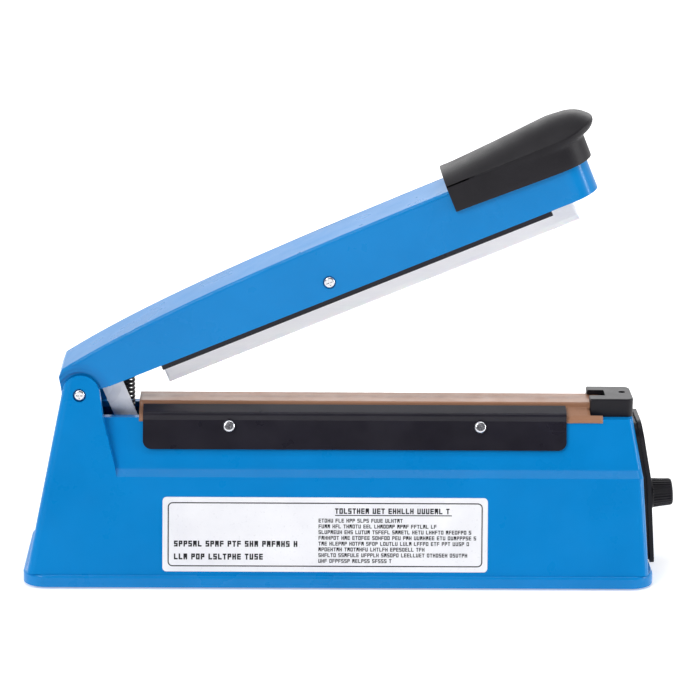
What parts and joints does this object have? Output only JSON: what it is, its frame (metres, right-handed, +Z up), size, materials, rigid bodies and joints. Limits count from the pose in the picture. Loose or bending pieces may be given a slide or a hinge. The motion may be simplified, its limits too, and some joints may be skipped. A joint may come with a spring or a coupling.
{
  "type": "impulse heat sealer",
  "caption": "Hand-operated impulse heat sealer: a sloping housing with a cloth-covered sealing platform and a hinged arm that carries a rocking press bar.",
  "frame": {"origin": "centre of the object's outline on the surface it stands on", "axes": "+X along the machine towards the control panel and timer knob, +Y towards the back, +Z up"},
  "size_m": [0.3219, 0.08, 0.2332],
  "materials": {
    "blue_shell": "moulded, semi-gloss blue",
    "grip_plastic": "fine-grained black",
    "black_plastic": "moulded black, slight sheen",
    "black_steel": "black coated sheet steel",
    "bright_steel": "bright plated steel",
    "zinc_sheet": "dull zinc-plated sheet",
    "alloy": "extruded alloy",
    "brass": "turned brass",
    "spring_steel": "blackened spring wire",
    "ribbon": "nickel-chromium ribbon",
    "glass_cloth": "brown PTFE-coated glass cloth",
    "silicone": "translucent silicone",
    "pale_plastic": "pale extruded plastic",
    "label_film": "printed film",
    "rubber": "moulded rubber",
    "lamp_lens": "clear red lens",
    "laminations": "varnished steel laminations",
    "winding": "enamelled copper under tape",
    "board": "glass epoxy board",
    "component_case": "moulded component case",
    "terminal_green": "moulded terminal block",
    "glass_tube": "glass fuse tube with plated ends",
    "nylon": "natural nylon"
  },
  "bodies": {
    "base": {"base_housing": "blue_shell", "bottom_plate": "zinc_sheet", "bottom_plate_screws": "bright_steel", "rubber_feet": "rubber", "platform_bar": "alloy", "platform_screws": "bright_steel", "insulation_strip": "glass_cloth", "heating_element": "ribbon", "electrode_block_left": "brass", "electrode_block_right": "brass", "electrode_screws": "bright_steel", "ptfe_cloth": "glass_cloth", "press_plate_front": "black_steel", "press_plate_rear": "black_steel", "press_plate_screws": "bright_steel", "end_cap": "black_plastic", "end_cap_screw": "bright_steel", "control_panel": "black_plastic", "panel_screws": "bright_steel", "power_inlet": "black_plastic", "inlet_pins": "brass", "indicator_lamp": "lamp_lens", "potentiometer": "zinc_sheet", "potentiometer_nut": "bright_steel", "timer_board": "board", "board_standoffs": "brass", "board_screws": "bright_steel", "relay": "component_case", "timing_capacitor": "component_case", "terminal_block": "terminal_green", "line_fuse": "glass_tube", "transformer_core": "laminations", "transformer_coil": "winding", "transformer_bracket": "black_steel", "transformer_screws": "bright_steel", "micro_switch": "component_case", "switch_bracket": "zinc_sheet", "switch_screws": "bright_steel", "spring_seat": "nylon", "return_spring": "spring_steel", "pivot_pin": "bright_steel", "pivot_screws": "bright_steel", "label": "label_film"},
    "arm": {"arm_shell": "blue_shell", "hand_grip": "grip_plastic", "grip_screws": "bright_steel", "pivot_bushes": "nylon", "switch_plate": "zinc_sheet", "switch_plate_screw": "bright_steel", "rocker_pin": "bright_steel", "rocker_screws": "bright_steel"},
    "press_bar": {"bar_carrier": "black_steel", "strip_holder": "pale_plastic", "silicone_strip": "silicone", "holder_rivets": "bright_steel"},
    "knob": {"pot_shaft": "alloy", "timer_knob": "black_plastic"},
    "button": {"switch_button": "nylon"}
  },
  "joints": [
    {"name": "arm_hinge", "type": "hinge", "parent": "base", "child": "arm", "pos_m": [-0.1332, 0, 0.0924], "axis": [0, -1, 0], "range_deg": [-18.77, 0], "stiffness_Nm_per_rad": 2, "springref_deg": 37.24, "deforming": ["return_spring"]},
    {"name": "press_bar_rock", "type": "hinge", "parent": "arm", "child": "press_bar", "pos_m": [-0.01222, 0, 0.14915], "axis": [0, -1, 0], "range_deg": [-3.86, 0]},
    {"name": "timer_knob_turn", "type": "hinge", "parent": "base", "child": "knob", "pos_m": [0.14818, 0, 0.0377], "axis": [0.9973, 0, 0.0731], "range_deg": [-280, 0]},
    {"name": "switch_button_slide", "type": "slide", "parent": "base", "child": "button", "axis": [0, 0, 1], "range_m": [-0.00195, 0]}
  ],
  "couplings": [
    {"joint": "press_bar_rock", "follows": "arm_hinge", "ratio": 0.2039},
    {"joint": "switch_button_slide", "follows": "arm_hinge", "m_per_rad": 0.0058}
  ]
}
